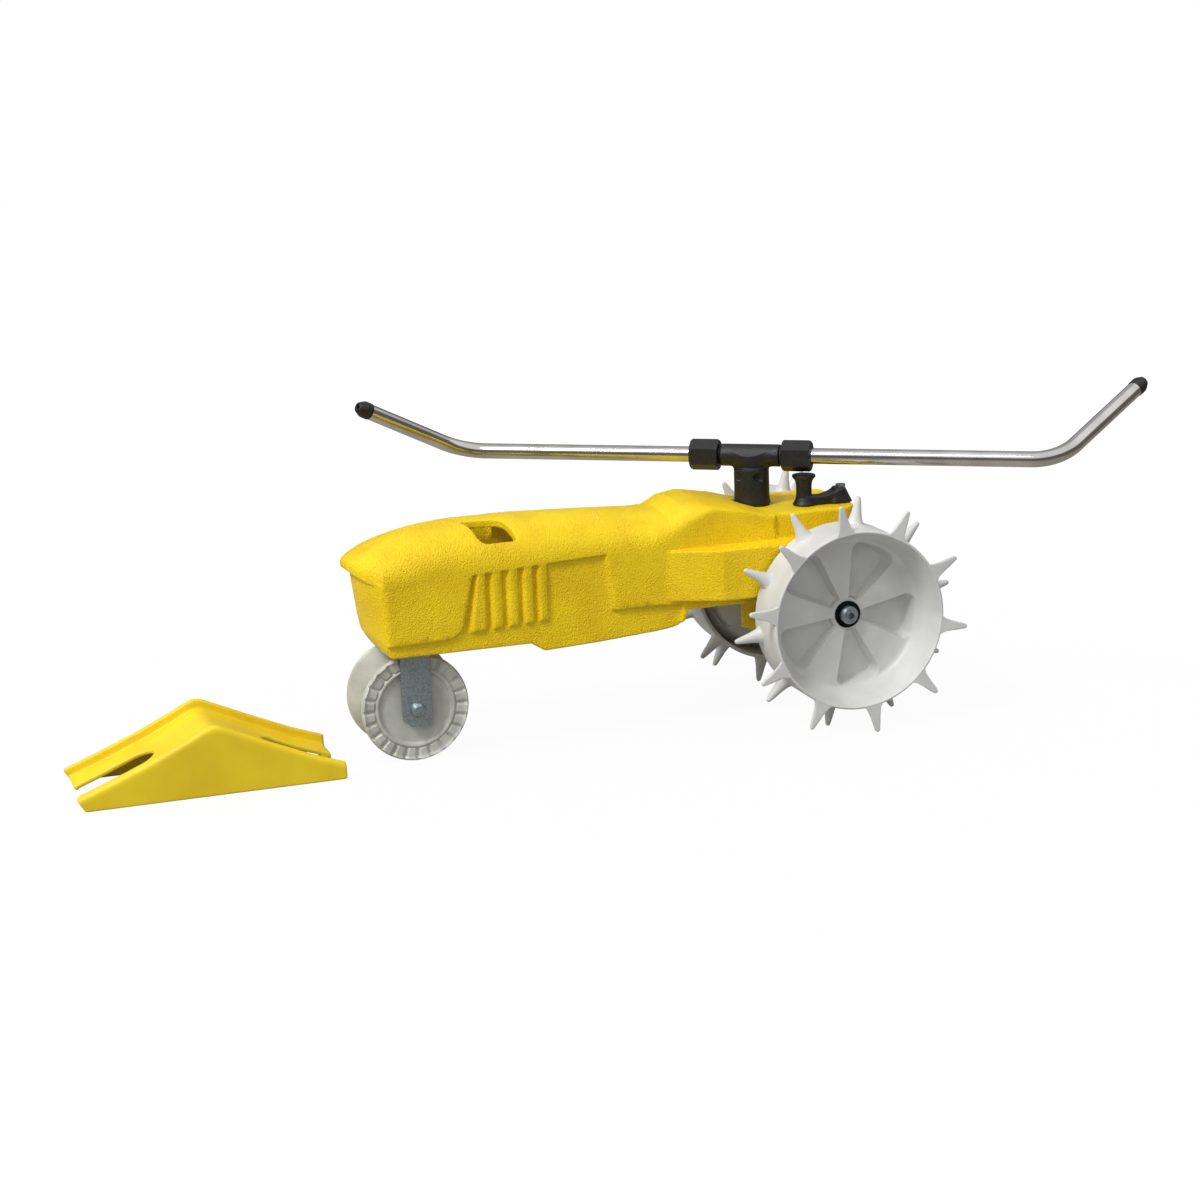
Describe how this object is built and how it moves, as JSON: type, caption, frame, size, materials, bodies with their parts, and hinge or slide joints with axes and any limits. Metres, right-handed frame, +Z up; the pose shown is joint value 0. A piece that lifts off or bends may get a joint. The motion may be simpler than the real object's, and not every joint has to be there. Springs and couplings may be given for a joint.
{
  "type": "travelling sprinkler",
  "caption": "Travelling sprinkler shaped like a small tractor: a cast body on spiked wheels, geared to a spinner with bent spray arms, that follows its hose to a shut-off ramp.",
  "frame": {"origin": "on the ground, at the middle of the whole set's length and width", "axes": "+X to the rear, where the hose joins, so it drives towards -X; +Z up; -Y is the side with the speed lever"},
  "size_m": [0.863, 0.2786, 0.2651],
  "materials": {
    "casting_paint": "gloss yellow enamel on cast iron",
    "ramp_plastic": "moulded yellow, slightly glossy",
    "white_plastic": "moulded white, slightly translucent",
    "black_plastic": "rough black",
    "tube_steel": "bright drawn tube",
    "zinc_steel": "zinc plated",
    "gear_steel": "machined steel",
    "bronze": "machined bronze",
    "brass": "machined brass",
    "rubber": "soft black",
    "black_washer": "satin black"
  },
  "bodies": {
    "tractor": {"body_casting": "casting_paint", "gear_pan": "casting_paint", "pan_screws": "zinc_steel", "ramp": "ramp_plastic", "swivel_bolt": "zinc_steel", "swivel_washer": "zinc_steel", "axle_bushes": "bronze", "countershaft_bushes": "bronze", "spinner_bearing": "bronze", "seal_carrier": "brass", "shaft_seal": "rubber", "valve_seat": "brass", "gland_nut": "brass", "inlet_nipple": "brass"},
    "fork": {"front_fork": "zinc_steel", "front_axle_bolt": "zinc_steel", "front_axle_nut": "zinc_steel"},
    "front_wheel": {"front_wheel": "white_plastic"},
    "drive_axle": {"rear_axle": "zinc_steel", "axle_gear": "gear_steel", "drive_wheel_left": "white_plastic", "drive_wheel_right": "white_plastic", "hub_washers": "black_washer", "axle_nuts": "zinc_steel"},
    "countershaft": {"countershaft": "gear_steel", "worm_wheel": "bronze"},
    "pinion": {"sliding_pinion": "gear_steel"},
    "spinner": {"spinner_tube": "brass", "worm": "gear_steel", "spray_tee": "black_plastic", "tube_nut_front": "black_plastic", "tube_nut_rear": "black_plastic"},
    "arm_front": {"spray_arm_front": "tube_steel", "nozzle_front": "black_plastic"},
    "arm_rear": {"spray_arm_rear": "tube_steel", "nozzle_rear": "black_plastic"},
    "lever": {"speed_lever": "black_plastic", "lever_screw": "zinc_steel", "shift_shaft": "zinc_steel", "shift_finger": "gear_steel"},
    "plunger": {"shutoff_plunger": "brass", "valve_disc": "rubber"},
    "hose_swivel": {"hose_swivel": "brass", "hose_washer": "rubber", "filter_screen": "zinc_steel"}
  },
  "joints": [
    {"name": "spray_spin", "type": "hinge", "parent": "tractor", "child": "spinner", "pos_m": [0.13051, 0, 0.21167], "axis": [0, 0, 1], "continuous": true},
    {"name": "arm_front_turn", "type": "hinge", "parent": "spinner", "child": "arm_front", "pos_m": [0.13051, 0, 0.21167], "axis": [-0.829, 0.5592, 0], "range_deg": [-40, 45]},
    {"name": "arm_rear_turn", "type": "hinge", "parent": "spinner", "child": "arm_rear", "pos_m": [0.13051, 0, 0.21167], "axis": [0.829, -0.5592, 0], "range_deg": [-40, 45]},
    {"name": "countershaft_spin", "type": "hinge", "parent": "tractor", "child": "countershaft", "pos_m": [0.16076, 0, 0.12494], "axis": [0, 1, 0], "continuous": true},
    {"name": "drive_spin", "type": "hinge", "parent": "tractor", "child": "drive_axle", "pos_m": [0.17691, 0, 0.09277], "axis": [0, 1, 0], "continuous": true},
    {"name": "lever_turn", "type": "hinge", "parent": "tractor", "child": "lever", "pos_m": [0.19851, -0.023, 0.17177], "axis": [0, 0, 1], "range_deg": [0, 18.3]},
    {"name": "pinion_slide", "type": "slide", "parent": "countershaft", "child": "pinion", "axis": [0, -1, 0], "range_m": [0, 0.012]},
    {"name": "fork_swivel", "type": "hinge", "parent": "tractor", "child": "fork", "pos_m": [-0.16449, 0, 0.095], "axis": [0, 0, 1], "range_deg": [-10, 10]},
    {"name": "front_wheel_spin", "type": "hinge", "parent": "fork", "child": "front_wheel", "pos_m": [-0.16449, 0, 0.043], "axis": [0, 1, 0], "continuous": true},
    {"name": "plunger_lift", "type": "slide", "parent": "tractor", "child": "plunger", "axis": [0, 0, 1], "range_m": [0, 0.006]},
    {"name": "swivel_turn", "type": "hinge", "parent": "tractor", "child": "hose_swivel", "pos_m": [0.22549, 0, 0.10477], "axis": [1, 0, 0], "continuous": true}
  ],
  "couplings": [
    {"joint": "countershaft_spin", "follows": "spray_spin", "ratio": -0.033333},
    {"joint": "drive_spin", "follows": "spray_spin", "ratio": 0.011111},
    {"joint": "pinion_slide", "follows": "lever_turn", "m_per_rad": 0.0374}
  ]
}
